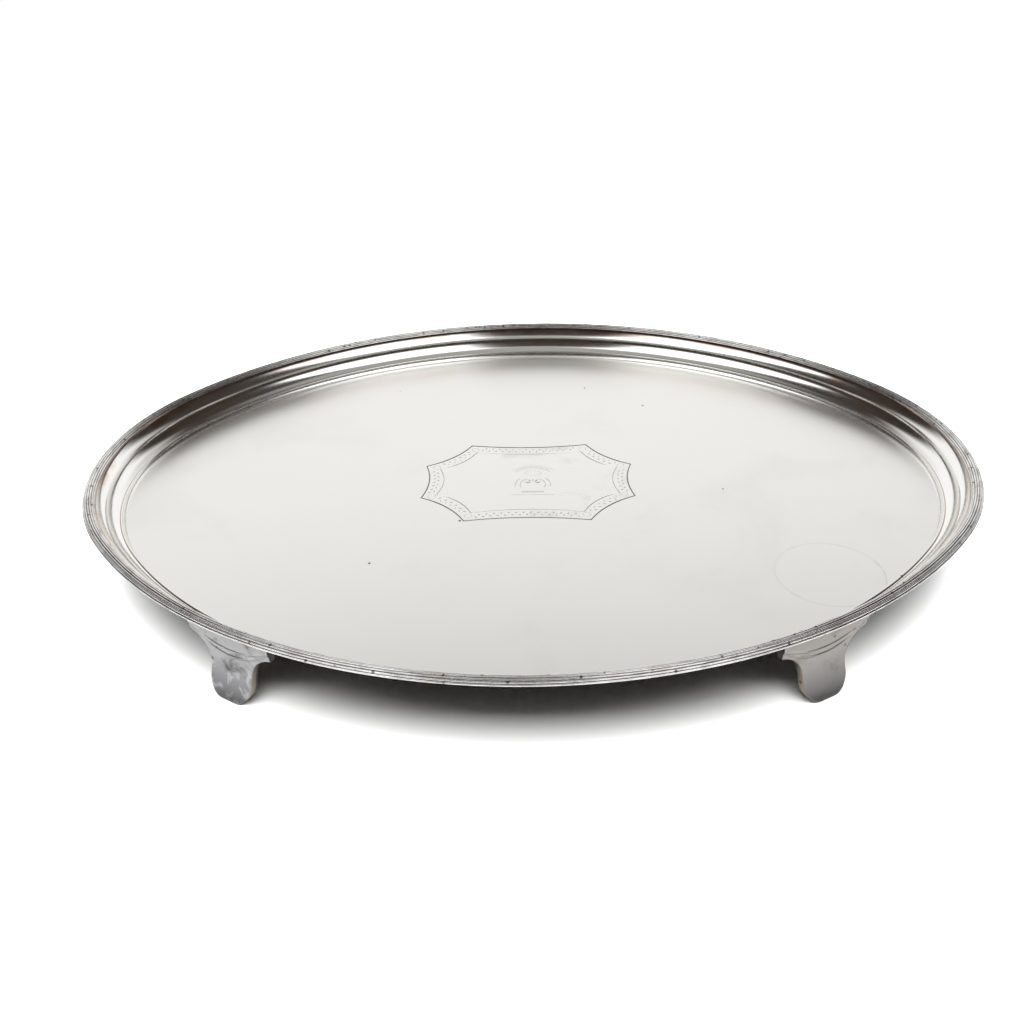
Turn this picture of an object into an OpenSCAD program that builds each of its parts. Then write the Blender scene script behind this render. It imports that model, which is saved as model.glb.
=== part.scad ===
// Oval footed salver in fused plate: a raised sheet tray with a struck reeded border,
// a let-in crest plate and four struck bracket feet. Millimetres, +Z up, the feet stand on z = 0.
// A section of the rim is drawn with s, the distance in from the outermost edge, as its first
// axis and z as its second. The oval is drawn in arcs, so that one section fits all the way round.

/* [Oval] */
// Radius of the arc at each end of the oval
end_r = 131; // [126:1:136]
// Radius of the arc at each shoulder
shoulder_r = 244.5; // [240:0.5:249]
// Radius of the arc along each side
side_r = 255.5; // [252:0.5:262]
// Height from the table to the top of the border
tray_h = 40; // [39:0.5:44]

/* [Sheet] */
// Thickness of the plated sheet
sheet_t = 1.0; // [0.8:0.1:1.2]
// Distance in from the edge to the top of the wall
wall_s = 5.9; // [5.9:0.1:6.2]
// Distance in from the edge to the ridge at the foot of the wall
ridge_s = 9.6; // [9.2:0.1:10]
// Depth of that ridge below the top of the border
ridge_drop = 7.5; // [7:0.1:8]
// Distance in from the edge to the thread at the inner side of the ledge
thread_s = 15.8; // [15:0.1:16.4]
// Depth of that thread below the top of the border
thread_drop = 14.5; // [14:0.1:15]
// Radius of the thread
thread_r = 0.5; // [0.4:0.05:0.6]
// Distance in from the edge to the foot of the step, where the flat field starts
field_s = 17.6; // [17.4:0.1:19]
// Depth of the field below the top of the border
field_drop = 17; // [16.6:0.1:17.6]

/* [Border] */
// Radius of one reed
reed_r = 0.52; // [0.48:0.01:0.54]
// Radius of the crown that the reeds lie on
crown_r = 2.6; // [2.5:0.05:2.7]
// Thickness of the struck silver under the reeds
mount_t = 0.3; // [0.25:0.05:0.4]

/* [Crest plate] */
// Half the length of the plate at its end corners
plate_end_x = 54.9; // [50:0.5:58]
// Half the width of the plate at its end corners
plate_end_y = 16.4; // [14:0.5:18]
// Half the length of the plate at its side corners
plate_side_x = 31.5; // [28:0.5:34]
// Half the width of the plate at its side corners
plate_side_y = 38.9; // [34:0.5:41]
// How far each side of the plate is hollowed
plate_hollow = 2.6; // [1.5:0.1:3]
// Thickness of the plate
plate_t = 0.4; // [0.3:0.05:0.5]

/* [Feet] */
// Direction that the edge faces where each foot stands, in degrees from the long axis
foot_turn = 59.6; // [56:0.2:62]
// Half the width of the toe
toe_half = 11.6; // [11:0.1:12.4]
// Radius of the toe's lower corners
toe_r = 8; // [7:0.5:9]
// Half the span of the foot under the border
wing_half = 22.8; // [21:0.1:24]
// Radius of the hollow between the toe and each wing
flare_r = 13.6; // [12.6:0.1:14.4]
// Height of the middle of that hollow
flare_z = 12; // [11:0.5:13]
// Distance in from the edge to the waist of the foot
waist_s = 6.2; // [6:0.1:7]
// Height of the waist
waist_z = 23; // [22:0.5:24]
// Radius of the foot's upright curve
foot_curve_r = 46; // [44:0.5:50]
// Thickness of a foot
foot_t = 3.4; // [3:0.1:3.8]
// Thickness of the struck shell and of the back plate
foot_skin = 0.6; // [0.5:0.05:0.7]

/* [Hidden] */
$fn = 96;

silver = [0.86, 0.86, 0.84];
bright_silver = [0.93, 0.93, 0.92];
lead_tin = [0.52, 0.53, 0.55];
worn_silver = [0.7, 0.68, 0.65];

// Where one arc gives way to the next, the edge faces these directions. They are the long sides
// of a 3-4-5 and a 7-24-25 triangle, so that every centre is a short decimal.
due_east = [1, 0];
end_turn = [0.8, 0.6];
side_turn = [0.28, 0.96];
due_north = [0, 1];
end_centre = [0.8 * (shoulder_r - end_r) + 0.28 * (side_r - shoulder_r), 0];
shoulder_centre = end_centre - (shoulder_r - end_r) * end_turn;
side_centre = shoulder_centre - (side_r - shoulder_r) * side_turn;

// Each arc of one quarter: centre, radius, first direction, last direction.
quarter_arcs = [
    [end_centre, end_r, due_east, end_turn],
    [shoulder_centre, shoulder_r, end_turn, side_turn],
    [side_centre, side_r, side_turn, due_north]
];

// Heights of the section, and where the reeds and the crown lie on it.
field_z = tray_h - field_drop;
thread_z = tray_h - thread_drop;
ridge_z = tray_h - ridge_drop;
crown_z = tray_h - crown_r - reed_r;
reed_step = 22.5;
wire_turn = 157.5;
crown_s = reed_r - crown_r * cos(wire_turn);
flange_rise = 1.0;
flange_z = crown_z + flange_rise;
flange_s = 0.75;
reed_count = 6;
wall_bulge = 0.6;
ledge_bulge = 1.2;
step_bulge = 0.3;
cove_steps = 6;
under_shift = [-0.75, -1];

// The swept part of the sheet reaches in to apron_s; the flat middle is drawn from core_s inwards.
apron_s = 60;
core_s = 35;
core_step = 10;

// Room that a cutting shape has beyond what it cuts, in degrees and in millimetres.
spare_turn = 3;
spare = 5;
wedge_reach = 500;

// Short straight length left at each corner of the crest plate.
corner_land = 0.6;

// Reeds that hang across the face of a foot: lowest height and radius of each.
foot_reed_sags = [[20.4, 34.6], [23.4, 45]];
foot_reed_w = 0.9;
foot_reed_proud = 0.4;

// Block of space that holds a whole foot, in millimetres and in degrees round the rim.
foot_reach = 30;
foot_fan = 30;

function turn_of(v) = atan2(v[1], v[0]);

// Point of the north-east quarter, s in from its edge, where the edge faces turn degrees.
function arc_at(turn) = turn <= turn_of(end_turn) ? 0 : turn <= turn_of(side_turn) ? 1 : 2;
function quarter_point(turn, s) =
    quarter_arcs[arc_at(turn)][0] + (quarter_arcs[arc_at(turn)][1] - s) * [cos(turn), sin(turn)];

// Circular cove from a to b that sags by bulge below the straight line between them.
function cove(a, b, bulge) =
    let (half = norm(b - a) / 2)
    let (r = (half * half + bulge * bulge) / (2 * bulge))
    let (along = (b - a) / (2 * half))
    let (centre = (a + b) / 2 + (r - bulge) * [-along[1], along[0]])
    let (open = asin(half / r))
    [for (i = [0 : cove_steps])
        let (t = open * (2 * i / cove_steps - 1))
        centre + r * (sin(t) * along - cos(t) * [-along[1], along[0]])];

// Top line of the sheet from the wall inwards, and the same line one thickness below it.
wall_line = cove([wall_s, flange_z], [ridge_s, ridge_z], wall_bulge);
ledge_line = cove([ridge_s, ridge_z], [thread_s, thread_z], ledge_bulge);
step_line = cove([thread_s + thread_r, thread_z], [field_s, field_z], step_bulge);
sheet_top = concat(wall_line, ledge_line, step_line, [[apron_s, field_z]]);
sheet_under = [for (i = [len(sheet_top) - 1 : -1 : 0]) sheet_top[i] + sheet_t * under_shift];

module sheet_section() {
    difference() {
        union() {
            polygon(concat(
                [[flange_s, flange_z]], sheet_top,
                sheet_under, [[flange_s, flange_z - sheet_t]]
            ));
            translate([thread_s, thread_z]) circle(thread_r);
        }
        wire_section();
    }
}

// Everything above the under-surface of the sheet, used to trim what is soldered below it.
module above_sheet_section() {
    polygon(concat(
        [[-foot_reach, tray_h + spare], [apron_s, tray_h + spare]],
        sheet_under, [[flange_s, flange_z - sheet_t], [-foot_reach, flange_z - sheet_t]]
    ));
}

module wire_section() {
    translate([crown_s + crown_r * cos(wire_turn), crown_z + crown_r * sin(wire_turn)])
        circle(reed_r);
}

module crown_section(r) {
    intersection() {
        translate([crown_s, crown_z]) circle(r);
        translate([crown_s - 2 * r, flange_z]) square([4 * r, 2 * r]);
    }
}

module mount_section() {
    difference() {
        union() {
            crown_section(crown_r);
            intersection() {
                for (i = [1 : reed_count])
                    translate([crown_s, crown_z])
                        rotate(wire_turn - i * reed_step)
                            translate([crown_r, 0])
                                circle(reed_r);
                translate([0, flange_z]) square([4 * crown_r, 2 * crown_r]);
            }
        }
        crown_section(crown_r - mount_t);
        wire_section();
    }
}

// The section given as a child, swept round one arc and cut square at both of its ends.
module swept_arc(arc) {
    first = turn_of(arc[2]) - spare_turn;
    last = turn_of(arc[3]) + spare_turn;
    intersection() {
        translate([arc[0][0], arc[0][1], 0])
            rotate_extrude(angle = last - first, start = first)
                translate([arc[1], 0])
                    mirror([1, 0])
                        children();
        linear_extrude(tray_h + spare)
            polygon([
                arc[0], arc[0] + wedge_reach * arc[2],
                arc[0] + wedge_reach * (arc[2] + arc[3]), arc[0] + wedge_reach * arc[3]
            ]);
    }
}

// One quarter of the oval, swept with the section given as a child.
module quarter() {
    for (arc = quarter_arcs)
        swept_arc(arc) children();
}

// The child moved to one of the four quarters: east is 1 or -1, north is 1 or -1.
module to_quarter(east, north) {
    mirror([east < 0 ? 1 : 0, 0, 0])
        mirror([0, north < 0 ? 1 : 0, 0])
            children();
}

module whole_oval() {
    for (east = [1, -1])
        for (north = [1, -1])
            to_quarter(east, north)
                quarter()
                    children();
}

module tray_body() {
    color(silver)
        difference() {
            union() {
                whole_oval() sheet_section();
                translate([0, 0, field_z - sheet_t])
                    linear_extrude(sheet_t)
                        core_outline();
            }
            crest_shape();
        }
}

// Middle of the field, drawn straight from point to point well inside the swept part.
module core_outline() {
    points = [for (t = [0 : core_step : 90]) quarter_point(t, core_s)];
    for (x = [-1, 1])
        for (y = [-1, 1])
            polygon(concat([[0, 0]], [for (p = points) [x * p[0], y * p[1]]]));
}

module edge_wire() {
    color(bright_silver)
        whole_oval() wire_section();
}

// Eight-cornered plate with hollow sides, let in flush with the top of the field.
module crest_shape() {
    corners = [
        [plate_end_x, plate_end_y], [plate_side_x, plate_side_y],
        [-plate_side_x, plate_side_y], [-plate_end_x, plate_end_y],
        [-plate_end_x, -plate_end_y], [-plate_side_x, -plate_side_y],
        [plate_side_x, -plate_side_y], [plate_end_x, -plate_end_y]
    ];
    translate([0, 0, field_z - plate_t])
        difference() {
            linear_extrude(plate_t) polygon(corners);
            for (i = [0 : 7])
                hollow_side(corners[i], corners[(i + 1) % 8]);
        }
}

module hollow_side(a, b) {
    half = norm(b - a) / 2 - corner_land;
    r = (half * half + plate_hollow * plate_hollow) / (2 * plate_hollow);
    out = [b[1] - a[1], a[0] - b[0]] / norm(b - a);
    centre = (a + b) / 2 + (r - plate_hollow) * out;
    translate([centre[0], centre[1], -spare])
        cylinder(h = plate_t + 2 * spare, r = r);
}

module crest_plate() {
    color(bright_silver) crest_shape();
}

module border_mount(east, north) {
    color(bright_silver)
        to_quarter(east, north)
            quarter() mount_section();
}

module border_filling(east, north) {
    color(lead_tin)
        to_quarter(east, north)
            quarter() crown_section(crown_r - mount_t);
}

// Front outline of a foot, drawn in by the distance inset, standing on the line z = inset.
module foot_outline(inset) {
    half = toe_half - inset;
    corner = toe_r - inset;
    difference() {
        union() {
            for (side = [-1, 1])
                translate([side * (toe_half - toe_r), toe_r]) circle(corner);
            translate([-(toe_half - toe_r), inset]) square([2 * (toe_half - toe_r), toe_r]);
            translate([-half, toe_r]) square([2 * half, tray_h - toe_r]);
            translate([-(wing_half - inset), flare_z]) square([2 * (wing_half - inset), tray_h - flare_z]);
        }
        for (side = [-1, 1])
            translate([side * (toe_half + flare_r), flare_z]) circle(flare_r + inset);
    }
}

// Upright curved layer of a foot between the depths near and far behind its face.
module foot_layer(near, far) {
    arc = quarter_arcs[1];
    translate([arc[0][0], arc[0][1], 0])
        rotate_extrude(angle = foot_fan, start = foot_turn - foot_fan / 2)
            translate([arc[1], 0])
                mirror([1, 0])
                    difference() {
                        intersection() {
                            translate([waist_s - foot_curve_r, waist_z]) circle(foot_curve_r + far);
                            translate([0, -spare]) square([foot_reach, tray_h + 2 * spare]);
                        }
                        translate([waist_s - foot_curve_r, waist_z]) circle(foot_curve_r + near);
                        above_sheet_section();
                    }
}

// The outline pushed through the rim, square to the edge, at the foot's place.
module foot_block() {
    place = quarter_point(foot_turn, 0);
    translate([place[0], place[1], 0])
        rotate([0, 0, foot_turn + 90])
            translate([0, foot_reach, 0])
                rotate([90, 0, 0])
                    linear_extrude(2 * foot_reach) children();
}

// Bands that hang from wing tip to wing tip, one above the other.
module reed_outline() {
    intersection() {
        foot_outline(0);
        for (sag = foot_reed_sags)
            translate([0, sag[0] + sag[1]])
                difference() {
                    circle(sag[1]);
                    circle(sag[1] - foot_reed_w);
                }
    }
}

module foot_core() {
    intersection() {
        foot_layer(foot_skin, foot_t - foot_skin);
        foot_block() foot_outline(foot_skin);
    }
}

module foot_shell(east, north) {
    color(worn_silver)
        to_quarter(east, north)
            union() {
                difference() {
                    intersection() {
                        foot_layer(0, foot_t - foot_skin);
                        foot_block() foot_outline(0);
                    }
                    foot_core();
                }
                intersection() {
                    foot_layer(-foot_reed_proud, foot_skin / 2);
                    foot_block() reed_outline();
                }
            }
}

module foot_filling(east, north) {
    color(lead_tin)
        to_quarter(east, north)
            foot_core();
}

module foot_back(east, north) {
    color(worn_silver)
        to_quarter(east, north)
            intersection() {
                foot_layer(foot_t - foot_skin, foot_t);
                foot_block() foot_outline(0);
            }
}

tray_body();
edge_wire();
crest_plate();
border_mount(1, 1);  // border_mount_ne
border_mount(-1, 1);  // border_mount_nw
border_mount(-1, -1);  // border_mount_sw
border_mount(1, -1);  // border_mount_se
border_filling(1, 1);  // border_filling_ne
border_filling(-1, 1);  // border_filling_nw
border_filling(-1, -1);  // border_filling_sw
border_filling(1, -1);  // border_filling_se
foot_shell(1, 1);  // foot_shell_ne
foot_shell(-1, 1);  // foot_shell_nw
foot_shell(-1, -1);  // foot_shell_sw
foot_shell(1, -1);  // foot_shell_se
foot_filling(1, 1);  // foot_filling_ne
foot_filling(-1, 1);  // foot_filling_nw
foot_filling(-1, -1);  // foot_filling_sw
foot_filling(1, -1);  // foot_filling_se
foot_back(1, 1);  // foot_back_ne
foot_back(-1, 1);  // foot_back_nw
foot_back(-1, -1);  // foot_back_sw
foot_back(1, -1);  // foot_back_se
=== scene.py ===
import math

import bmesh
import bpy
from mathutils import Matrix, Vector


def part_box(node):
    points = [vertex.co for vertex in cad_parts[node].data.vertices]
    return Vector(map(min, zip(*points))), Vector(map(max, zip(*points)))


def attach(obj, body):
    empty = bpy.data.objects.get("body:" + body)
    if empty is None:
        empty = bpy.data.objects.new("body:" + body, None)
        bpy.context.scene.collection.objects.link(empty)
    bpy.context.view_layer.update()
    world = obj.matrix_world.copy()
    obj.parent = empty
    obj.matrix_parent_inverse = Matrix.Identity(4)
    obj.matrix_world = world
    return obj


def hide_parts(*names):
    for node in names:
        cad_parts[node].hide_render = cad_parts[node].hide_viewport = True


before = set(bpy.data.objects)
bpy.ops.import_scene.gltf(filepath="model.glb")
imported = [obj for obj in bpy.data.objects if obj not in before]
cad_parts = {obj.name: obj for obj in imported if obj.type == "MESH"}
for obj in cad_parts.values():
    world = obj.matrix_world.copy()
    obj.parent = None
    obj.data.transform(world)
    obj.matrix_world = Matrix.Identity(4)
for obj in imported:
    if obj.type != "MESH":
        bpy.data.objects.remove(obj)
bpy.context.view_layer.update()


# ---------------------------------------------------------------------------------------------
# Tray. One sheet of copper faced with silver on both sides, raised over a wooden form into a flat
# field, a step with a raised thread, a coved ledge and a coved wall, and turned out at the top into
# the narrow flange that carries the border. Everything else is soldered to it.

# The oval is drawn in three arcs a quarter. They meet in two directions with plain ratios, so that
# each arc runs into the next without a corner.
END_RADIUS, SHOULDER_RADIUS, SIDE_RADIUS = 0.131, 0.2445, 0.2555
FIRST_JOIN, SECOND_JOIN = (0.8, 0.6), (0.28, 0.96)
HALF_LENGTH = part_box("edge_wire")[1].x

end_centre = Vector((HALF_LENGTH - END_RADIUS, 0, 0))
shoulder_centre = end_centre - (SHOULDER_RADIUS - END_RADIUS) * Vector((*FIRST_JOIN, 0))
side_centre = shoulder_centre - (SIDE_RADIUS - SHOULDER_RADIUS) * Vector((*SECOND_JOIN, 0))
end_turn = math.atan2(FIRST_JOIN[1], FIRST_JOIN[0])
side_turn = math.atan2(SECOND_JOIN[1], SECOND_JOIN[0])
OVAL_ARCS = (  # centre, radius, first and last direction, steps
    (end_centre, END_RADIUS, 0.0, end_turn, 56),
    (shoulder_centre, SHOULDER_RADIUS, end_turn, side_turn, 104),
    (side_centre, SIDE_RADIUS, side_turn, math.pi / 2, 48),
)


class Section:
    """The line of a rim section, drawn at the east end of the oval. Points are (distance in from the
    edge, height) in metres, and each arc is a vertex spun about its centre."""

    def __init__(self, inward, height):
        self.bm = bmesh.new()
        self.here = self.bm.verts.new((HALF_LENGTH - inward, 0, height))

    def to(self, inward, height):
        made = bmesh.ops.extrude_vert_indiv(self.bm, verts=[self.here])["verts"][0]
        made.co = (HALF_LENGTH - inward, 0, height)
        self.here = made
        return self

    def about(self, inward, height, end_inward, end_height, steps, way=None):
        """Arc about a centre, as far as the direction in which the end point lies."""
        centre = Vector((HALF_LENGTH - inward, 0, height))
        a = self.here.co - centre
        b = Vector((HALF_LENGTH - end_inward, 0, end_height)) - centre
        turn = math.atan2(a.z, a.x) - math.atan2(b.z, b.x)
        turn = (turn + math.pi) % (2 * math.pi) - math.pi
        if way and turn * way < 0:
            turn += way * 2 * math.pi
        made = bmesh.ops.spin(
            self.bm, geom=[self.here], cent=centre, axis=(0, 1, 0), angle=turn, steps=steps
        )
        self.here = made["geom_last"][0]
        return self

    def cove(self, end_inward, end_height, sag, steps):
        """Hollow arc to a point, sagging below the straight line to it."""
        a = self.here.co.copy()
        b = Vector((HALF_LENGTH - end_inward, 0, end_height))
        half = (b - a).length / 2
        radius = (half * half + sag * sag) / (2 * sag)
        up = Vector((-(b - a).z, 0, (b - a).x)).normalized()
        if up.z < 0:
            up = -up
        centre = (a + b) / 2 + (radius - sag) * up
        return self.about(HALF_LENGTH - centre.x, centre.z, end_inward, end_height, steps)

    def close(self):
        self.bm.verts.ensure_lookup_table()
        self.bm.edges.new((self.here, self.bm.verts[0]))
        return self

    def sweep(self):
        """Spins the section round the three arcs of the north-east quarter."""
        geom = self.bm.verts[:] + self.bm.edges[:]
        for centre, _, first, last, steps in OVAL_ARCS:
            made = bmesh.ops.spin(
                self.bm, geom=geom, cent=centre, axis=(0, 0, 1), angle=last - first, steps=steps
            )
            geom = made["geom_last"]
        return self.bm


def inward_of(x, y):
    """How far in from the edge of the oval a point lies."""
    x, y = abs(x), abs(y)
    for centre, radius, _, last, _ in OVAL_ARCS:
        if math.atan2(y - centre.y, x - centre.x) <= last + 1e-6:
            break
    return radius - math.hypot(x - centre.x, y - centre.y)


def verts_of(geom):
    return [g for g in geom if isinstance(g, bmesh.types.BMVert)]


def edges_of(geom):
    return [g for g in geom if isinstance(g, bmesh.types.BMEdge)]


def everything(bm):
    return bm.verts[:] + bm.edges[:] + bm.faces[:]


def whole(bm):
    """Mirrors a quarter into the whole oval and welds it on both axes."""
    for axis in "XY":
        bmesh.ops.mirror(bm, geom=everything(bm), merge_dist=1e-6, axis=axis)
    bmesh.ops.remove_doubles(bm, verts=bm.verts[:], dist=2e-6)
    return bm


def piece(name, bm, material, crease=32):
    """Turns a closed bmesh into a named object with one material, soft over all but its creases."""
    bmesh.ops.recalc_face_normals(bm, faces=bm.faces[:])
    for face in bm.faces:
        face.smooth = True
    for edge in bm.edges:
        edge.smooth = len(edge.link_faces) == 2 and edge.calc_face_angle(0) < math.radians(crease)
    inward = bm.verts.layers.float.new("inward")  # in millimetres
    for vert in bm.verts:
        vert[inward] = inward_of(vert.co.x, vert.co.y) * 1000
    mesh = bpy.data.meshes.new(name)
    bm.to_mesh(mesh)
    bm.free()
    mesh.materials.append(material)
    made = bpy.data.objects.new(name, mesh)
    bpy.context.scene.collection.objects.link(made)
    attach(made, "root")
    return made


# The few shader tools that every finish below is made with.
def live(value):
    """The first live output of a node; anything else as it is."""
    if isinstance(value, bpy.types.Node):
        return next(s for s in value.outputs if s.enabled)
    return value


def plug(tree, socket, value):
    value = live(value)
    if isinstance(value, bpy.types.NodeSocket):
        tree.links.new(value, socket)
    else:
        socket.default_value = value


def shade(tree, kind, sockets=None, **settings):
    """One shader node. Each socket takes a value, a node or an output of a node."""
    made = tree.nodes.new("ShaderNode" + kind)
    for name, value in settings.items():
        setattr(made, name, value)
    for name, value in (sockets or {}).items():
        if isinstance(name, int):
            socket = made.inputs[name]
        else:
            socket = next(s for s in made.inputs if s.name == name and s.enabled)
        plug(tree, socket, value)
    return made


def math_node(tree, operation, a, b=0.0, clamp=False):
    return shade(tree, "Math", {0: a, 1: b}, operation=operation, use_clamp=clamp)


def times(tree, a, b):
    return math_node(tree, "MULTIPLY", a, b)


def plus(tree, a, b):
    return math_node(tree, "ADD", a, b)


def minus(tree, a, b):
    return math_node(tree, "SUBTRACT", a, b)


def band(tree, value, low, high, out_low=0.0, out_high=1.0):
    """Soft step: out_low at low, out_high at high."""
    sockets = {
        "Value": value, "From Min": low, "From Max": high, "To Min": out_low, "To Max": out_high,
    }
    return shade(tree, "MapRange", sockets, interpolation_type="SMOOTHSTEP")


def blend(tree, factor, a, b):
    """Colour a where the factor is 0, b where it is 1."""
    return shade(tree, "Mix", {0: factor, 6: a, 7: b}, data_type="RGBA", blend_type="MIX")


def painted(tree, layer):
    """A value painted on the vertices when the piece was made."""
    return shade(tree, "Attribute", attribute_name=layer).outputs["Fac"]


def new_group(name, inputs, outputs):
    """An empty node group with its sockets: {name: (kind, default)}."""
    tree = bpy.data.node_groups.new(name, "ShaderNodeTree")
    for socket, (kind, default) in inputs.items():
        made = tree.interface.new_socket(socket, in_out="INPUT", socket_type="NodeSocket" + kind)
        if default is not None:
            made.default_value = default
    for socket, kind in outputs.items():
        tree.interface.new_socket(socket, in_out="OUTPUT", socket_type="NodeSocket" + kind)
    return tree, tree.nodes.new("NodeGroupInput").outputs, tree.nodes.new("NodeGroupOutput").inputs


def use_group(tree, group, sockets):
    made = tree.nodes.new("ShaderNodeGroup")
    made.node_tree = group
    for name, value in sockets.items():
        plug(tree, made.inputs[name], value)
    return made


# Fine scratches left by two centuries of cloths: short straight lines that cross at several angles.
SCRATCH_LAYERS = ((17, 46, 0.62), (-38, 60, 0.66), (71, 38, 0.64), (4, 80, 0.6))  # degrees, grain, gap
scratches, into, out = new_group(
    "fine_scratches", {"Vector": ("Vector", None), "Scale": ("Float", 1.0)}, {"Height": "Float"}
)
total = None
for turn, grain, gap in SCRATCH_LAYERS:
    mapped = shade(scratches, "Mapping", {
        "Vector": into["Vector"], "Rotation": (0, 0, math.radians(turn)), "Scale": (grain, 1400, 60),
    })
    mapped = shade(scratches, "VectorMath", {0: mapped, 1: into["Scale"]}, operation="MULTIPLY")
    line = shade(scratches, "TexNoise", {
        "Vector": mapped, "Scale": 1.0, "Detail": 1.0, "Roughness": 0.4,
    })
    line = band(scratches, line, gap, gap + 0.1)
    total = line if total is None else plus(scratches, total, line)
plug(scratches, out["Height"], math_node(scratches, "MULTIPLY", total, 0.5, clamp=True))

# Clouds of tarnish: soft noise that covers more of the surface as Cover grows.
clouds, into, out = new_group(
    "tarnish_clouds",
    {"Vector": ("Vector", None), "Scale": ("Float", 20.0), "Cover": ("Float", 0.5)},
    {"Mask": "Float"},
)
big = shade(clouds, "TexNoise", {
    "Vector": into["Vector"], "Scale": into["Scale"],
    "Detail": 6.0, "Roughness": 0.62, "Distortion": 0.6,
})
low = minus(clouds, 0.75, times(clouds, into["Cover"], 0.5))
plug(clouds, out["Mask"], band(clouds, big, low, plus(clouds, low, 0.16)))

# Pits: scattered round specks of a few tenths of a millimetre, most cells left empty.
pits, into, out = new_group(
    "pit_specks",
    {
        "Vector": ("Vector", None), "Scale": ("Float", 200.0),
        "Share": ("Float", 0.1), "Size": ("Float", 0.2),
    },
    {"Mask": "Float"},
)
cell = shade(pits, "TexVoronoi", {"Vector": into["Vector"], "Scale": into["Scale"]})
lot = shade(pits, "SeparateColor", {"Color": cell.outputs["Color"]}).outputs[0]
chosen = math_node(pits, "LESS_THAN", lot, into["Share"])
dot = band(pits, cell.outputs["Distance"], into["Size"], times(pits, into["Size"], 0.4))
plug(pits, out["Mask"], times(pits, chosen, dot))

SILVER = (0.91, 0.905, 0.875, 1)
GREY_TARNISH = (0.42, 0.40, 0.37, 1)
COPPER = (0.62, 0.33, 0.21, 1)
COPPER_AND_PAINTED_SHADE = (0.34, 0.17, 0.12, 1)
DULL_UNDERSIDE = (0.17, 0.155, 0.14, 1)
DIRT = (0.05, 0.042, 0.036, 1)


def metal(name):
    """A new material, its node tree and the object's own coordinates, which every finish reads."""
    made = bpy.data.materials.new(name)
    made.use_nodes = True
    made.node_tree.nodes.clear()
    return made, made.node_tree, shade(made.node_tree, "TexCoord").outputs["Object"]


def finish_metal(tree, colour, roughness, height, depth):
    """Joins colour, roughness and a height map in metres to one metal shader."""
    bump = shade(tree, "Bump", {"Strength": 1.0, "Distance": depth, "Height": height})
    skin = shade(tree, "BsdfPrincipled", {
        "Base Color": colour, "Roughness": roughness, "Metallic": 1.0, "Normal": bump,
    })
    shade(tree, "OutputMaterial", {"Surface": skin})


FIELD_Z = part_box("crest_plate")[1].z
GLASS_MARK = (0.1371, -0.0855, FIELD_Z)

tray_finish, tree, coords = metal("tray_silver")
inward = painted(tree, "inward")
cloud = use_group(tree, clouds, {"Vector": coords, "Scale": 14.0, "Cover": 0.42})
fine_cloud = use_group(tree, clouds, {"Vector": coords, "Scale": 55.0, "Cover": 0.46})
speck = use_group(tree, pits, {"Vector": coords, "Scale": 150.0, "Share": 0.012, "Size": 0.13})
base = blend(tree, times(tree, cloud, 0.035), SILVER, GREY_TARNISH)
# the copper shows pink where the top of the wall is worn thin
top_of_wall = times(tree, band(tree, inward, 5.0, 6.2), band(tree, inward, 8.4, 6.8))
bleed = use_group(tree, clouds, {"Vector": coords, "Scale": 26.0, "Cover": 0.62})
base = blend(tree, times(tree, times(tree, top_of_wall, bleed), 0.5), base, COPPER)
# the angle under the border and the line along the thread are painted a dark copper brown:
# copper showing, and painted shade in the crease and beside the thread
beside_thread = times(tree, band(tree, inward, 14.9, 15.3), band(tree, inward, 15.7, 15.4))
corner = math_node(tree, "MAXIMUM", band(tree, inward, 6.6, 5.8), beside_thread)
# painted shade: copper darkened in the crease under the border and beside the thread
base = blend(tree, times(tree, corner, 0.75), base, COPPER_AND_PAINTED_SHADE)
base = blend(tree, times(tree, speck, 0.85), base, DIRT)
# the ring left by a wet glass on the field
glass = shade(tree, "VectorMath", {0: coords, 1: GLASS_MARK}, operation="DISTANCE").outputs["Value"]
ring = times(tree, band(tree, glass, 0.0236, 0.0243), band(tree, glass, 0.0252, 0.0245))
ring = times(tree, ring, band(tree, fine_cloud, -0.6, 0.9))
base = blend(tree, times(tree, ring, 0.28), base, GREY_TARNISH)
# the underside was never polished
base = blend(tree, painted(tree, "under"), base, DULL_UNDERSIDE)
# the field is worn to a satin, the coves keep their polish
rough = plus(tree, times(tree, band(tree, inward, 15.0, 18.0), 0.14), 0.14)
rough = plus(tree, rough, times(tree, cloud, 0.02))
rough = plus(tree, rough, times(tree, speck, 0.4))
lines = use_group(tree, scratches, {"Vector": coords, "Scale": 1.0})
waves = shade(tree, "TexNoise", {"Vector": coords, "Scale": 16.0, "Detail": 2.0})
height = minus(tree, times(tree, waves, 1.2), times(tree, lines, 0.015))
height = minus(tree, height, times(tree, speck, 0.8))
finish_metal(tree, base, rough, height, 0.0001)

SHEET = 0.001
FLANGE_Z, FLANGE_INWARD = 0.03788, 0.0011
INNER_RING = 0.060  # where the section stops; the rest of the field is filled flat
line = Section(INNER_RING, FIELD_Z).to(0.0176, FIELD_Z)
line.cove(0.0163, 0.0255, 0.0003, 6)
line.about(0.0158, 0.0255, 0.0153, 0.0256, 10)
line.cove(0.0096, 0.0325, 0.0012, 14)
line.cove(0.0059, FLANGE_Z, 0.0006, 12)
line.to(FLANGE_INWARD, FLANGE_Z).to(FLANGE_INWARD, FLANGE_Z - SHEET)
# back along the underside
line.to(0.00515, FLANGE_Z - SHEET)
line.cove(0.00885, 0.0315, 0.0006, 8)
line.cove(0.01505, 0.0245, 0.0012, 8)
line.cove(0.01685, FIELD_Z - SHEET, 0.0003, 4)
line.to(INNER_RING, FIELD_Z - SHEET)
bm = whole(line.sweep())
bm.verts.ensure_lookup_table()

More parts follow.
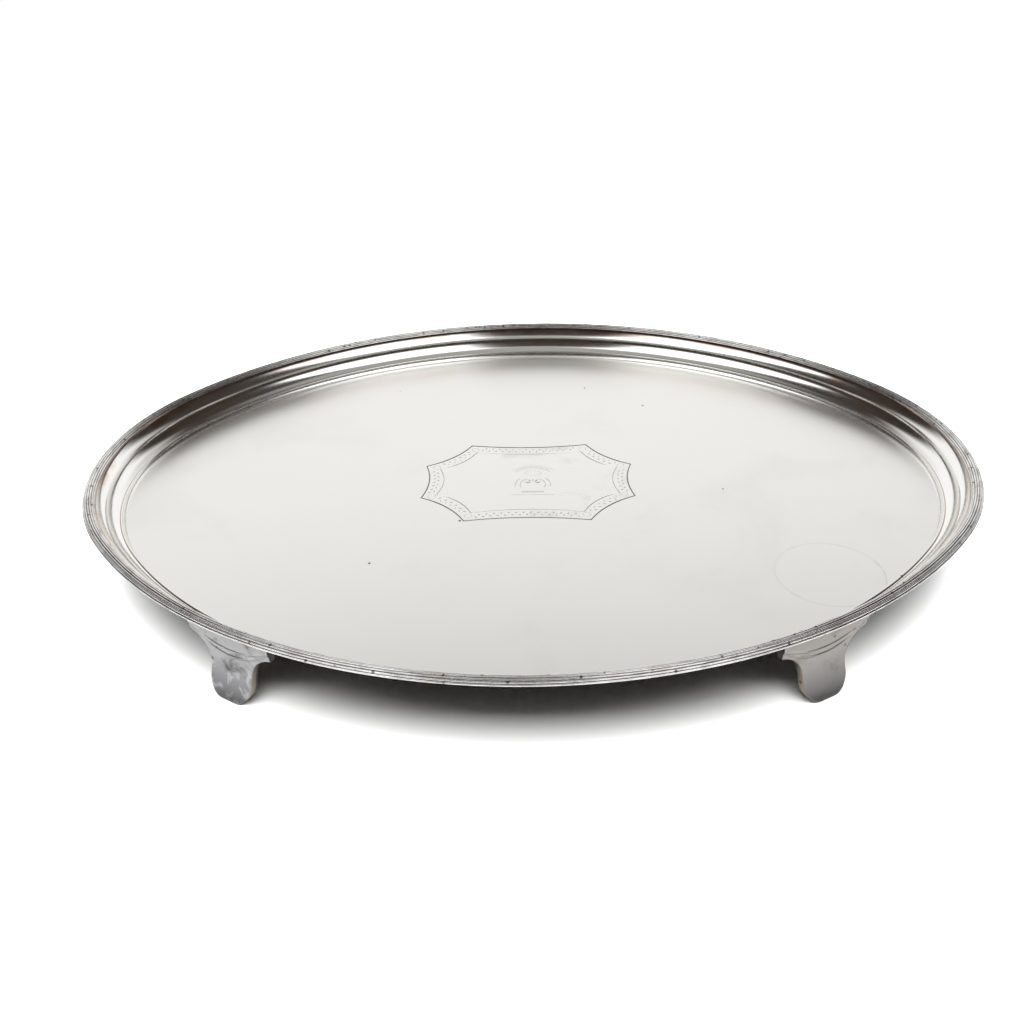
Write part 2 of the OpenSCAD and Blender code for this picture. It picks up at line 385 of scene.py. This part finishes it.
# The outline of the pocket for the crest plate: eight corners joined by hollow sides.
PLATE_END = Vector((0.0549, 0.0164, FIELD_Z))
PLATE_SIDE = Vector((0.0315, 0.0389, FIELD_Z))
PLATE_HOLLOW = 0.0026
CORNER_LAND = 0.0006
PLATE = FIELD_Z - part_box("crest_plate")[0].z


def hollow_side(bm, start, end, steps):
    """Edge chain from a corner of the plate to the next, hollowed inwards between short lands."""
    along = (end - start).normalized()
    a, b = start + along * CORNER_LAND, end - along * CORNER_LAND
    half = (b - a).length / 2
    radius = (half * half + PLATE_HOLLOW**2) / (2 * PLATE_HOLLOW)
    outward = Vector((along.y, -along.x, 0))
    centre = (a + b) / 2 + (radius - PLATE_HOLLOW) * outward
    land = bmesh.ops.extrude_vert_indiv(bm, verts=[bm.verts.new(start)])["verts"]
    land[0].co = a
    opening = 2 * math.asin(half / radius)
    made = bmesh.ops.spin(bm, geom=land, cent=centre, axis=(0, 0, 1), angle=-opening, steps=steps)
    land = bmesh.ops.extrude_vert_indiv(bm, verts=[made["geom_last"][0]])["verts"]
    land[0].co = end


def plate_outline(bm, end=PLATE_END, side=PLATE_SIDE):
    """The closed outline of the crest plate, from its two corners in the first quarter."""
    corners = [Vector((x * c.x, y * c.y, c.z)) for x, y, c in (
        (1, 1, end), (1, 1, side), (-1, 1, side), (-1, 1, end),
        (-1, -1, end), (-1, -1, side), (1, -1, side), (1, -1, end),
    )]
    before = set(bm.verts)
    for a, b in zip(corners, corners[1:] + corners[:1]):
        hollow_side(bm, a, b, 24)
    bmesh.ops.remove_doubles(bm, verts=[v for v in bm.verts if v not in before], dist=1e-6)
    return [e for e in bm.edges if not e.link_faces and all(v not in before for v in e.verts)]


def drop_and_close(bm, outline):
    """Walls from an outline down by the thickness of the plate, and a face across the bottom."""
    made = bmesh.ops.extrude_edge_only(bm, edges=outline)["geom"]
    bmesh.ops.translate(bm, verts=verts_of(made), vec=(0, 0, -PLATE))
    lowest = FIELD_Z - PLATE + 1e-6
    bottom = [e for e in edges_of(made) if all(v.co.z < lowest for v in e.verts)]
    bmesh.ops.contextual_create(bm, geom=bottom)


drop_and_close(bm, plate_outline(bm))
open_edges = [e for e in bm.edges if len(e.link_faces) == 1]
top = [e for e in open_edges if abs(e.verts[0].co.z - FIELD_Z) < 1e-6]
bmesh.ops.triangle_fill(bm, use_beauty=True, use_dissolve=False, edges=top)
bmesh.ops.contextual_create(bm, geom=[e for e in bm.edges if len(e.link_faces) == 1])
bmesh.ops.recalc_face_normals(bm, faces=bm.faces[:])
bm.normal_update()
under_layer = bm.verts.layers.float.new("under")
for vert in bm.verts:
    vert[under_layer] = 1.0 if vert.normal.z < -0.3 else 0.0
tray = piece("tray", bm, tray_finish)
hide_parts("tray_body")


# ---------------------------------------------------------------------------------------------
# Edge wire. Drawn silver wire, soldered round the cut edge of the sheet so that its copper doesn't
# show. It runs right round as the lowest and outermost reed.

WORN_REED, DARK_REED = (0.83, 0.82, 0.80, 1), (0.55, 0.54, 0.53, 1)

rim_finish, tree, coords = metal("rim_silver")
inward = painted(tree, "inward")
place = shade(tree, "SeparateXYZ", {"Vector": coords})
# streaks run along the reeds, so they change faster across the rim than round it
stretched = shade(tree, "CombineXYZ", {
    "X": times(tree, place.outputs[0], 120.0),
    "Y": times(tree, place.outputs[1], 120.0),
    "Z": times(tree, inward, 0.9),
})
streak = shade(tree, "TexNoise", {"Vector": stretched, "Scale": 1.0, "Detail": 2.0, "Roughness": 0.5})
patch = use_group(tree, clouds, {"Vector": coords, "Scale": 60.0, "Cover": 0.55})
nick = use_group(tree, pits, {"Vector": coords, "Scale": 330.0, "Share": 0.32, "Size": 0.32})
base = blend(tree, band(tree, streak, 0.45, 0.75), WORN_REED, DARK_REED)
base = blend(tree, times(tree, patch, 0.35), base, GREY_TARNISH)
base = blend(tree, times(tree, painted(tree, "groove"), 0.92), base, DIRT)
base = blend(tree, times(tree, nick, 0.8), base, DIRT)
rough = plus(tree, times(tree, streak, 0.25), 0.12)
height = minus(tree, times(tree, streak, 0.5), times(tree, nick, 0.6))
finish_metal(tree, base, rough, height, 0.00003)

# Seven reeds stand side by side round a quarter-round crown, the wire as the outermost.
REED = 0.00052
CROWN_S, CROWN_Z, CROWN = 0.002922, 0.03688, 0.0026
REED_STEP = 22.5
REED_ANGLES = [157.5 - REED_STEP * i for i in range(7)]


def on_crown(angle, radius=CROWN):
    """Point (inward, height) at an angle round the crown of the border."""
    turn = math.radians(angle)
    return CROWN_S + radius * math.cos(turn), CROWN_Z + radius * math.sin(turn)


def mark_grooves(bm):
    """Paints 1 into the grooves between the reeds and 0 on their backs."""
    layer = bm.verts.layers.float.new("groove")
    for vert in bm.verts:
        out = math.hypot(inward_of(vert.co.x, vert.co.y) - CROWN_S, vert.co.z - CROWN_Z) - CROWN
        vert[layer] = max(0.0, min(1.0, (0.00034 - out) / 0.00022))


wire_s, wire_z = on_crown(REED_ANGLES[0])
line = Section(wire_s - REED, wire_z).about(wire_s, wire_z, wire_s + REED, wire_z, 8, way=1)
line.about(wire_s, wire_z, wire_s - REED, wire_z, 8, way=1)
bm = whole(line.sweep())
mark_grooves(bm)
wire = piece("rim_wire", bm, rim_finish)
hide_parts("edge_wire")


# ---------------------------------------------------------------------------------------------
# Border. Thin silver struck in a die with six reeds, filled with lead-tin and soldered on the flange
# in four lengths that butt against each other on the long and the short axis.

half_step = math.radians(REED_STEP / 2)
GROOVE = CROWN * math.cos(half_step) + math.sqrt(REED**2 - (CROWN * math.sin(half_step)) ** 2)
line = Section(FLANGE_INWARD, FLANGE_Z + 0.0001).to(*on_crown(REED_ANGLES[0] - REED_STEP / 2, GROOVE))
for angle in REED_ANGLES[1:-1]:
    line.about(*on_crown(angle), *on_crown(angle - REED_STEP / 2, GROOVE), 8, way=-1)
last_s, last_z = on_crown(REED_ANGLES[-1])
line.about(last_s, last_z, last_s + REED, FLANGE_Z + 0.00002, 9, way=-1)
line.to(last_s + REED - 0.0001, FLANGE_Z)
line.close()
quarter = line.sweep()
for end in (0, 1):
    rim = [
        e for e in quarter.edges
        if len(e.link_faces) == 1 and all(abs(v.co[1 - end]) < 1e-6 for v in e.verts)
    ]
    bmesh.ops.contextual_create(quarter, geom=rim)
mark_grooves(quarter)
QUARTERS = {"ne": (1, 1), "nw": (-1, 1), "sw": (-1, -1), "se": (1, -1)}
for corner, (east, north) in QUARTERS.items():
    bm = quarter.copy()
    bmesh.ops.scale(bm, verts=bm.verts[:], vec=(east, north, 1))
    mount = piece("border_" + corner, bm, rim_finish, crease=70)
    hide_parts("border_mount_" + corner)
quarter.free()


# ---------------------------------------------------------------------------------------------
# Crest plate. A thicker plate of good silver let in flush at the middle of the field, so that an
# engraver can cut into it without reaching copper. A scored line runs round its seam, then a band of
# running leaf with a roundel at each corner, and the crest stands in the middle.

plate_finish, tree, coords = metal("crest_silver")
cloud = use_group(tree, clouds, {"Vector": coords, "Scale": 30.0, "Cover": 0.4})
base = blend(tree, times(tree, cloud, 0.15), SILVER, GREY_TARNISH)
base = blend(tree, times(tree, painted(tree, "cut"), 0.85), base, DIRT)
lines = use_group(tree, scratches, {"Vector": coords, "Scale": 1.0})
rough = plus(tree, times(tree, cloud, 0.06), 0.27)
finish_metal(tree, base, rough, times(tree, lines, -0.03), 0.0001)

CUT_DEPTH = 0.00016
SEAM_LINE, BAND_LINE = (0.00012, 0.0007), (0.0078, 0.0004)  # start in from the edge, and width
LEAF_LINE, LEAF_OFF, LEAF_STEP = 0.0041, 0.001, 0.00185
LEAF_LENGTH, LEAF_WIDTH, LEAF_LEAN = 0.0021, 0.0006, 50
ROUNDEL, ROUNDEL_CLEAR = 0.0019, 0.0034
ROUNDEL_CENTRES = [
    Vector((x * east, y * north, FIELD_Z))
    for x, y in ((0.0493, 0.0148), (0.0295, 0.0339)) for east in (1, -1) for north in (1, -1)
]
SLANT_X, SLANT_Y = 0.6931, 0.7209  # the way the slanting sides of the plate face


def frame_loop(bm, inset, drop):
    """The outline of the plate again, a distance in from its edge and as far below its face."""
    slant = SLANT_X * PLATE_END.x + SLANT_Y * PLATE_END.y - inset
    end, top = PLATE_END.x - inset, PLATE_SIDE.y - inset
    return plate_outline(
        bm,
        Vector((end, (slant - SLANT_X * end) / SLANT_Y, FIELD_Z - drop)),
        Vector(((slant - SLANT_Y * top) / SLANT_X, top, FIELD_Z - drop)),
    )


def graver_cut(bm, x, y, length, width, turn):
    """One slender cut of the graver, pointed at both ends and deepest at its middle. Returns its rim."""
    rim = bmesh.ops.create_circle(bm, segments=8, radius=1, cap_ends=True)["verts"]
    for v in rim:
        taper = (1 - abs(v.co.x)) ** 0.5 if abs(v.co.x) < 0.999 else 0.0
        v.co = Vector((v.co.x * length / 2, v.co.y * width / 2 * taper, 0))
    bmesh.ops.rotate(bm, verts=rim, cent=(0, 0, 0), matrix=Matrix.Rotation(turn, 3, "Z"))
    bmesh.ops.translate(bm, verts=rim, vec=(x, y, FIELD_Z))
    middle = bmesh.ops.poke(bm, faces=list({f for v in rim for f in v.link_faces}))["verts"]
    bmesh.ops.translate(bm, verts=middle, vec=(0, 0, -CUT_DEPTH))
    return [e for e in {e for v in rim for e in v.link_edges} if len(e.link_faces) == 1]


def arc_of_cuts(bm, cx, cy, rx, ry, first, last, count, length, width, lean=0.0):
    """Cuts laid end to end along part of an ellipse, each turned by lean off its line."""
    made = []
    for i in range(count):
        t = math.radians(first + (last - first) * (i + 0.5) / count)
        turn = math.atan2(ry * math.cos(t), -rx * math.sin(t)) + math.radians(lean)
        made += graver_cut(bm, cx + rx * math.cos(t), cy + ry * math.sin(t), length, width, turn)
    return made


def leaf_path():
    """The points of the middle line of the leaf band, in order round the plate."""
    shape = bmesh.new()
    frame_loop(shape, LEAF_LINE, 0)
    here, last, walk = next(iter(shape.verts)), None, []
    while len(walk) < len(shape.verts):
        walk.append(here.co.copy())
        onward = next(e.other_vert(here) for e in here.link_edges if e.other_vert(here) is not last)
        last, here = here, onward
    shape.free()
    return walk + walk[:1]


bm = bmesh.new()
outline = plate_outline(bm)
drop_and_close(bm, outline)
loops = [outline]
for start, width in (SEAM_LINE, BAND_LINE):
    for inset, drop in ((start, 0), (start + width / 2, CUT_DEPTH), (start + width, 0)):
        loops.append(frame_loop(bm, inset, drop))
for i in (0, 1, 2, 4, 5):
    bmesh.ops.bridge_loops(bm, edges=loops[i] + loops[i + 1])

leaves = []
for middle in ROUNDEL_CENTRES:
    leaves += arc_of_cuts(bm, middle.x, middle.y, ROUNDEL, ROUNDEL, 0, 360, 9, 0.001, 0.0004)
path, gone, lean = leaf_path(), 0.0, 1
for a, b in zip(path, path[1:]):
    step = (b - a).length
    along = (b - a).normalized()
    while gone < step:
        spot = a.lerp(b, gone / step) + Vector((-along.y, along.x, 0)) * LEAF_OFF * lean
        if all((spot - middle).length > ROUNDEL_CLEAR for middle in ROUNDEL_CENTRES):
            turn = math.atan2(along.y, along.x) + lean * math.radians(LEAF_LEAN)
            leaves += graver_cut(bm, spot.x, spot.y, LEAF_LENGTH, LEAF_WIDTH, turn)
        lean = -lean
        gone += LEAF_STEP
    gone -= step
band_edges = loops[3] + loops[4] + leaves
bmesh.ops.triangle_fill(bm, use_beauty=True, use_dissolve=False, edges=band_edges)

# the crest: a ribbon over a small cap, a scrolled device and a straight bar below
CREST_X = 0.0025
RIBBON_Y, CAP_Y, FAN_Y, SCROLL_Y, TWIST_Y, BAR_Y = 0.0018, 0.0078, -0.0032, -0.004, -0.0114, -0.0142
crest_cuts = []
for reach, width in ((0.0118, 0.00055), (0.0142, 0.00045)):
    crest_cuts += arc_of_cuts(bm, CREST_X, RIBBON_Y, reach, reach * 0.98, 38, 142, 15, 0.0012, width)
crest_cuts += arc_of_cuts(
    bm, CREST_X, RIBBON_Y, 0.013, 0.0128, 48, 132, 12, 0.0011, 0.0004, lean=60
)
crest_cuts += arc_of_cuts(bm, CREST_X, CAP_Y, 0.0042, 0.0024, 0, 360, 12, 0.0009, 0.0005)
for k in range(-2, 3):
    turn = math.radians(90 + 34 * k)
    x, y = CREST_X + 0.0030 * math.cos(turn), FAN_Y + 0.0036 * math.sin(turn)
    crest_cuts += graver_cut(bm, x, y, 0.004, 0.0008, turn)
for east in (-1, 1):
    for reach, first, last, count in ((0.0066, -28, 62, 8), (0.0092, -12, 44, 7)):
        first, last = 90 - east * (90 - first), 90 - east * (90 - last)
        crest_cuts += arc_of_cuts(
            bm, CREST_X, SCROLL_Y, reach, reach, first, last, count, 0.0011, 0.0006, lean=30 * east
        )
for k in range(-8, 9):
    crest_cuts += graver_cut(bm, CREST_X + 0.0013 * k, BAR_Y, 0.0012, 0.0005, 0)
for k in range(-4, 5):
    crest_cuts += graver_cut(bm, CREST_X + 0.0013 * k, TWIST_Y, 0.0024, 0.0006, math.radians(62))
bmesh.ops.triangle_fill(bm, use_beauty=True, use_dissolve=False, edges=loops[6] + crest_cuts)

cut_layer = bm.verts.layers.float.new("cut")
seam = {v for chain in loops[:3] for e in chain for v in e.verts}
for vert in bm.verts:
    deepest = abs(FIELD_Z - CUT_DEPTH - vert.co.z) < 1e-6
    vert[cut_layer] = 1.0 if vert in seam or deepest else 0.0
crest = piece("crest_panel", bm, plate_finish, crease=6)
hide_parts("crest_plate")


# ---------------------------------------------------------------------------------------------
# Feet. Each is a struck silver front with a toe, two spreading wings and two hanging reeds, filled
# with lead-tin and closed at the back with a plain plate. They are soldered under the ledge, clear of
# both axes, and stand square to the edge.

COOL_GREY, WARM_GREY = (0.37, 0.37, 0.375, 1), (0.30, 0.29, 0.272, 1)
TOE_PAINTED_SHADE, HEAVY_TARNISH = (0.05, 0.05, 0.055, 1), (0.085, 0.08, 0.075, 1)
PAINTED_HIGHLIGHT, WORN_EDGE = (0.78, 0.78, 0.79, 1), (0.62, 0.55, 0.42, 1)

foot_finish, tree, coords = metal("foot_silver")
place = shade(tree, "SeparateXYZ", {"Vector": coords})
east_side = band(tree, place.outputs[0], -0.02, 0.02)
west_side = minus(tree, 1.0, east_side)
# painted light and shade by side: the east feet a darker, warmer grey than the west ones, the west ones
# with more tarnish blots; all are painted darker towards the toe as shade
blot = use_group(tree, clouds, {"Vector": coords, "Scale": 60.0, "Cover": 0.42})
# painted light and shade: a colder grey on the west feet, a darker, warmer one on the east feet
plain = blend(tree, east_side, COOL_GREY, WARM_GREY)
# painted shade: each foot darkens towards its toe
up = band(tree, place.outputs[2], 0.004, 0.024)
plain = blend(tree, up, blend(tree, 0.5, plain, TOE_PAINTED_SHADE), plain)
heavy = minus(tree, 0.85, times(tree, east_side, 0.5))
base = blend(tree, times(tree, blot, heavy), plain, HEAVY_TARNISH)
patchy = use_group(tree, clouds, {"Vector": coords, "Scale": 150.0, "Cover": 0.5})
# painted highlight: pale patches low on the west feet
painted_highlight_mask = times(tree, times(tree, patchy, band(tree, place.outputs[2], 0.021, 0.013)), west_side)
base = blend(tree, times(tree, painted_highlight_mask, 0.35), base, PAINTED_HIGHLIGHT)
base = blend(tree, times(tree, painted(tree, "edge"), 0.8), base, WORN_EDGE)
speck = use_group(tree, pits, {"Vector": coords, "Scale": 300.0, "Share": 0.15, "Size": 0.3})
base = blend(tree, times(tree, speck, 0.7), base, DIRT)
rough = plus(tree, times(tree, blot, 0.2), 0.3)
height = minus(tree, times(tree, blot, 0.4), speck)
finish_metal(tree, base, rough, height, 0.0001)

FOOT_TURN = math.radians(59.6)
TOE_HALF, TOE_RADIUS, WING_HALF = 0.0116, 0.008, 0.0228
FLARE_RADIUS, FLARE_Z = 0.0136, 0.012
WAIST_S, WAIST_Z, FOOT_CURVE = 0.0062, 0.023, 0.046
FOOT_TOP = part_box("foot_shell_ne")[1].z
SHELL_DEPTH, SHELL_ROUND = 0.0028, 0.0005
FOOT_REEDS = ((0.0204, 0.0346), (0.0234, 0.045))  # lowest height and radius of each
REED_WIDTH, REED_PROUD = 0.0009, 0.0004
# The arc of the underside of the coved wall, which the back of a foot stops at.
WALL_FOOT_Z, WALL_ARC_S, WALL_ARC_Z, WALL_ARC_RADIUS = 0.0315, 0.01402, 0.03905, 0.009183


def slice_at(bm, point, normal):
    bmesh.ops.bisect_plane(bm, geom=everything(bm), plane_co=point, plane_no=normal, dist=1e-7)


def foot_block():
    """A foot before it is bent: its outline drawn flat with x across and y up, given its depth along
    -z and cut into small squares, finest where the reeds hang."""
    bm = bmesh.new()
    here = bm.verts.new((0, 0, 0))

    def line_to(x, y):
        nonlocal here
        here = bmesh.ops.extrude_vert_indiv(bm, verts=[here])["verts"][0]
        here.co = (x, y, 0)

    def arc(cx, cy, turn, steps):
        nonlocal here
        made = bmesh.ops.spin(
            bm, geom=[here], cent=(cx, cy, 0), axis=(0, 0, 1), angle=turn, steps=steps
        )
        here = made["geom_last"][0]

    line_to(TOE_HALF - TOE_RADIUS, 0)
    arc(TOE_HALF - TOE_RADIUS, TOE_RADIUS, math.pi / 2, 12)
    line_to(TOE_HALF, FLARE_Z)
    flare_x = TOE_HALF + FLARE_RADIUS
    arc(flare_x, FLARE_Z, -math.acos((flare_x - WING_HALF) / FLARE_RADIUS), 14)
    line_to(WING_HALF, FOOT_TOP)
    line_to(0, FOOT_TOP)
    bmesh.ops.contextual_create(bm, geom=bm.edges[:])
    bmesh.ops.mirror(bm, geom=everything(bm), merge_dist=1e-6, axis="X")
    bmesh.ops.recalc_face_normals(bm, faces=bm.faces[:])
    middle = [e for e in bm.edges if len(e.link_faces) == 2]
    bmesh.ops.dissolve_edges(bm, edges=middle, use_verts=True)
    back = bmesh.ops.extrude_face_region(bm, geom=bm.faces[:], use_keep_orig=True)["geom"]
    bmesh.ops.translate(bm, verts=verts_of(back), vec=(0, 0, -SHELL_DEPTH))
    bmesh.ops.recalc_face_normals(bm, faces=bm.faces[:])
    edge = [
        e for e in bm.edges
        if all(abs(v.co.z) < 1e-7 and v.co.y < FOOT_TOP - 1e-5 for v in e.verts)
    ]
    bmesh.ops.bevel(
        bm, geom=edge, offset=SHELL_ROUND, segments=3, profile=0.5, affect="EDGES", material=-1
    )
    for k in range(-22, 23):
        slice_at(bm, (0.001 * k, 0, 0), (1, 0, 0))
    coarse = [0.001 * k for k in list(range(1, 20)) + list(range(31, 37))]
    fine = [0.0195 + 0.0002 * k for k in range(57)]
    for level in coarse[:19] + fine + coarse[19:]:
        slice_at(bm, (0, level, 0), (0, 1, 0))
    return bm


def reed_height(x, y):
    """How far the two hanging reeds stand proud of the face."""
    for lowest, radius in FOOT_REEDS:
        t = (radius - math.hypot(x, lowest + radius - y)) / (REED_WIDTH / 2) - 1
        if abs(t) < 1:
            return REED_PROUD * math.sqrt(1 - t * t)
    return 0.0


def bend_foot(x, y, depth):
    """Where a point of the flat block lands on the curved foot, at a depth behind its face."""
    curve = FOOT_CURVE + depth
    s = WAIST_S - FOOT_CURVE + math.sqrt(curve**2 - (y - WAIST_Z) ** 2)
    if y > WALL_FOOT_Z:
        s = min(s, WALL_ARC_S - math.sqrt(WALL_ARC_RADIUS**2 - (y - WALL_ARC_Z) ** 2))
    out = math.sqrt((SHOULDER_RADIUS - s) ** 2 - x * x)
    facing = Vector((math.cos(FOOT_TURN), math.sin(FOOT_TURN), 0))
    across = Vector((-facing.y, facing.x, 0))
    return shoulder_centre + facing * out + across * x + Vector((0, 0, y))


block = foot_block()
edge_layer = block.verts.layers.float.new("edge")
for vert in block.verts:
    x, y, z = vert.co
    vert[edge_layer] = 1.0 if z < -SHELL_ROUND * 0.6 else 0.0
    vert.co = bend_foot(x, y, -z - (reed_height(x, y) if z > -1e-7 else 0))
for corner, (east, north) in QUARTERS.items():
    bm = block.copy()
    bmesh.ops.scale(bm, verts=bm.verts[:], vec=(east, north, 1))
    shell = piece("foot_front_" + corner, bm, foot_finish, crease=50)
    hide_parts("foot_shell_" + corner)
block.free()


# ---------------------------------------------------------------------------------------------
# Fillings and foot backs. Lead-tin was run into the hollow border and the hollow feet, where it can't
# be seen. The backs of the feet are plain plates, finished like their fronts.

filling_finish, tree, coords = metal("lead_tin_fill")
grain = shade(tree, "TexNoise", {"Vector": coords, "Scale": 240.0, "Detail": 4.0})
base = blend(tree, grain, (0.30, 0.30, 0.32, 1), (0.48, 0.48, 0.50, 1))
finish_metal(tree, base, band(tree, grain, 0.2, 0.8, 0.35, 0.6), grain, 0.0002)
for node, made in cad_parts.items():
    if "filling" in node or "foot_back" in node:
        made.data.materials.clear()
        made.data.materials.append(filling_finish if "filling" in node else foot_finish)


# ---------------------------------------------------------------------------------------------
# Floor, light and camera. The salver stands on a pale sheet of paper under one wide soft light, in a
# studio with a white backdrop.

floor_finish = bpy.data.materials.new("paper")
floor_finish.use_nodes = True
tree = floor_finish.node_tree
tree.nodes.clear()
# the silver mirrors the paper a good deal darker than it looks from above
mirrored = shade(tree, "LightPath").outputs["Is Glossy Ray"]
paper = blend(tree, mirrored, (0.78, 0.78, 0.78, 1), (0.38, 0.38, 0.38, 1))
sheet = shade(tree, "BsdfPrincipled", {"Base Color": paper.outputs[2], "Roughness": 0.9})
shade(tree, "OutputMaterial", {"Surface": sheet})
bm = bmesh.new()
bmesh.ops.create_grid(bm, x_segments=1, y_segments=1, size=8)
mesh = bpy.data.meshes.new("floor")
bm.to_mesh(mesh)
bm.free()
mesh.materials.append(floor_finish)
floor = bpy.data.objects.new("floor", mesh)
floor.location.z = -0.0002
bpy.context.scene.collection.objects.link(floor)

light = bpy.data.lights.new("box_above", "AREA")
light.shape = "SQUARE"
light.size = 2.4
light.energy = 145
box_above = bpy.data.objects.new("box_above", light)
box_above.location.z = 1.5
box_above.visible_glossy = False
bpy.context.scene.collection.objects.link(box_above)

# What the silver mirrors is the room itself: the white backdrop ahead, two tall lamps either side of
# the camera, a grey ceiling, and the dark of the studio elsewhere.
world = bpy.data.worlds.new("studio")
world.use_nodes = True
tree = world.node_tree
tree.nodes.clear()
direction = shade(tree, "TexCoord").outputs["Generated"]
across, along, high = shade(tree, "SeparateXYZ", {"Vector": direction}).outputs
aside = math_node(tree, "ABSOLUTE", math_node(tree, "ARCTAN2", across, along))
backdrop = times(tree, band(tree, aside, 1.0, 0.7), band(tree, high, 0.82, 0.66))
backdrop = times(tree, backdrop, band(tree, high, 0.78, 0.42, 0.7, 1.0))
dimmer = times(tree, band(tree, across, 0.05, 0.45), band(tree, high, 0.45, 0.68))
backdrop = times(tree, backdrop, minus(tree, 1.0, times(tree, dimmer, 0.3)))
turned = plus(tree, aside, band(tree, across, 0.0, -0.2, 0.0, 0.22))
lamps = times(tree, band(tree, turned, 1.95, 2.04), band(tree, turned, 2.95, 2.82))
lamps = times(tree, lamps, times(tree, band(tree, high, 0.3, 0.5), band(tree, high, 0.97, 0.93)))
room = blend(tree, band(tree, high, 0.86, 0.95), (0.036, 0.026, 0.021, 1), (0.36, 0.36, 0.34, 1))
room = blend(tree, lamps, room, (1.8, 1.8, 1.83, 1))
room = blend(tree, backdrop, room, (1.03, 1.03, 1.025, 1))
seen = shade(tree, "Background", {"Color": room, "Strength": 1.0})
# What lights the paper, besides the box, is a dim ceiling; what shows past the paper is a pale wall.
ceiling = blend(tree, band(tree, high, 0.6, 0.9), (0.03, 0.03, 0.03, 1), (2.2, 2.2, 2.2, 1))
lit = shade(tree, "Background", {"Color": ceiling, "Strength": 1.0})
wall = shade(tree, "Background", {"Color": (0.93, 0.93, 0.93, 1), "Strength": 1.0})
path = shade(tree, "LightPath").outputs
lit = shade(tree, "MixShader", {0: path["Is Camera Ray"], 1: lit, 2: wall})
studio = shade(tree, "MixShader", {0: path["Is Glossy Ray"], 1: lit, 2: seen})
shade(tree, "OutputWorld", {"Surface": studio})
bpy.context.scene.world = world
bpy.context.scene.view_settings.view_transform = "Standard"

LENS, DISTANCE, ELEVATION, AZIMUTH, ROLL = 36.914, 0.56811, 32.2, 2.3772, -1.8371
LOOKED_AT = Vector((-0.0092067, 0.0057385, 0))
a, e, r = math.radians(AZIMUTH), math.radians(ELEVATION), math.radians(ROLL)
back = Vector((math.sin(a) * math.cos(e), -math.cos(a) * math.cos(e), math.sin(e)))
right = Vector((math.cos(a), math.sin(a), 0))
up = back.cross(right)
right, up = math.cos(r) * right + math.sin(r) * up, math.cos(r) * up - math.sin(r) * right
camera = bpy.data.objects.new("camera", bpy.data.cameras.new("camera"))
camera.data.lens = LENS
camera.data.sensor_width = 36
camera.data.clip_start = 0.01
turned = Matrix((right, up, back)).transposed().to_4x4()
camera.matrix_world = Matrix.Translation(LOOKED_AT + back * DISTANCE) @ turned
bpy.context.scene.collection.objects.link(camera)
bpy.context.scene.camera = camera
